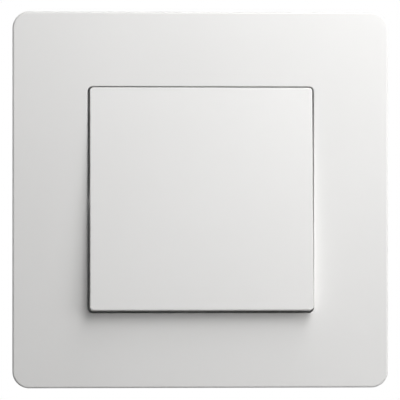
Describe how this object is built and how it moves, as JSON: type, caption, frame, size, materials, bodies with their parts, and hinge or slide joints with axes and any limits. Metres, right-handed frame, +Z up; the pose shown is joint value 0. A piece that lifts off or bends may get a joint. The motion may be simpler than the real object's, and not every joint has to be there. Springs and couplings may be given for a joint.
{
  "type": "push button light switch",
  "caption": "Square flush wall light switch: cover frame, large rocking push plate, plunger-driven contact, steel support ring, spreading claws and push-in terminals.",
  "frame": {"origin": "centre of the wall plane, midway between the two box-screw slots", "axes": "+X to the right seen from the room, +Y into the wall, +Z up"},
  "size_m": [0.092, 0.0359, 0.092],
  "materials": {
    "white_plastic": "satin",
    "carrier_plastic": "matte",
    "cover_plastic": "matte",
    "base_plastic": "matte",
    "button_plastic": "satin",
    "ring_steel": "galvanised",
    "screw_steel": "galvanised",
    "spring_steel": "bright",
    "contact_brass": "satin",
    "contact_silver": "satin"
  },
  "bodies": {
    "insert": {"cover_frame": "white_plastic", "support_ring": "ring_steel", "bearing_cover": "cover_plastic", "base_housing": "base_plastic", "terminal_cover": "cover_plastic", "fixed_contact": "contact_silver", "line_terminal_bar": "contact_brass", "load_terminal_bar": "contact_brass", "left_return_spring": "spring_steel", "right_return_spring": "spring_steel", "contact_spring": "spring_steel", "line_clamp_spring": "spring_steel", "load_clamp_spring": "spring_steel"},
    "push_plate": {"rocker": "white_plastic", "rocker_carrier": "carrier_plastic"},
    "plunger": {"contact_plunger": "carrier_plastic"},
    "lever": {"contact_lever": "contact_brass", "moving_contact": "contact_silver"},
    "line_button": {"line_release_button": "button_plastic"},
    "load_button": {"load_release_button": "button_plastic"},
    "left_screw": {"left_claw_screw": "screw_steel"},
    "left_nut": {"left_claw_nut": "screw_steel"},
    "left_arm": {"left_claw": "ring_steel"},
    "right_screw": {"right_claw_screw": "screw_steel"},
    "right_nut": {"right_claw_nut": "screw_steel"},
    "right_arm": {"right_claw": "ring_steel"}
  },
  "joints": [
    {"name": "rocker_press", "type": "hinge", "parent": "insert", "child": "push_plate", "pos_m": [0, -0.00692, 0], "axis": [1, 0, 0], "range_deg": [0, 8], "stiffness_Nm_per_rad": 0.6, "springref_deg": -5.73, "deforming": ["left_return_spring", "right_return_spring"]},
    {"name": "plunger_slide", "type": "slide", "parent": "insert", "child": "plunger", "axis": [0, 1, 0], "range_m": [0, 0.0014]},
    {"name": "contact_close", "type": "hinge", "parent": "insert", "child": "lever", "pos_m": [0, 0.005, 0.008], "axis": [1, 0, 0], "range_deg": [0, 4.45], "deforming": ["contact_spring"]},
    {"name": "line_release", "type": "slide", "parent": "insert", "child": "line_button", "axis": [0, -1, 0], "range_m": [0, 0.0015], "stiffness_N_per_m": 800, "springref_m": -0.001, "deforming": ["line_clamp_spring"]},
    {"name": "load_release", "type": "slide", "parent": "insert", "child": "load_button", "axis": [0, -1, 0], "range_m": [0, 0.0015], "stiffness_N_per_m": 800, "springref_m": -0.001, "deforming": ["load_clamp_spring"]},
    {"name": "left_screw_turn", "type": "hinge", "parent": "insert", "child": "left_screw", "pos_m": [-0.0236, 0, 0], "axis": [0, 1, 0], "range_deg": [0, 3600]},
    {"name": "left_nut_travel", "type": "slide", "parent": "insert", "child": "left_nut", "axis": [0, -1, 0], "range_m": [0, 0.005]},
    {"name": "left_claw_spread", "type": "hinge", "parent": "insert", "child": "left_arm", "pos_m": [-0.0224, 0.002, 0], "axis": [0, 0, 1], "range_deg": [0, 11.5]},
    {"name": "right_screw_turn", "type": "hinge", "parent": "insert", "child": "right_screw", "pos_m": [0.0236, 0, 0], "axis": [0, 1, 0], "range_deg": [0, 3600]},
    {"name": "right_nut_travel", "type": "slide", "parent": "insert", "child": "right_nut", "axis": [0, -1, 0], "range_m": [0, 0.005]},
    {"name": "right_claw_spread", "type": "hinge", "parent": "insert", "child": "right_arm", "pos_m": [0.0224, 0.002, 0], "axis": [0, 0, -1], "range_deg": [0, 11.5]}
  ],
  "couplings": [
    {"joint": "plunger_slide", "follows": "rocker_press", "m_per_rad": 0.0099919},
    {"joint": "contact_close", "follows": "rocker_press", "ratio": 0.5551},
    {"joint": "left_screw_turn", "follows": "left_nut_travel", "rad_per_m": 12566},
    {"joint": "left_claw_spread", "follows": "left_nut_travel", "rad_per_m": 40.143},
    {"joint": "right_screw_turn", "follows": "right_nut_travel", "rad_per_m": 12566},
    {"joint": "right_claw_spread", "follows": "right_nut_travel", "rad_per_m": 40.143}
  ]
}
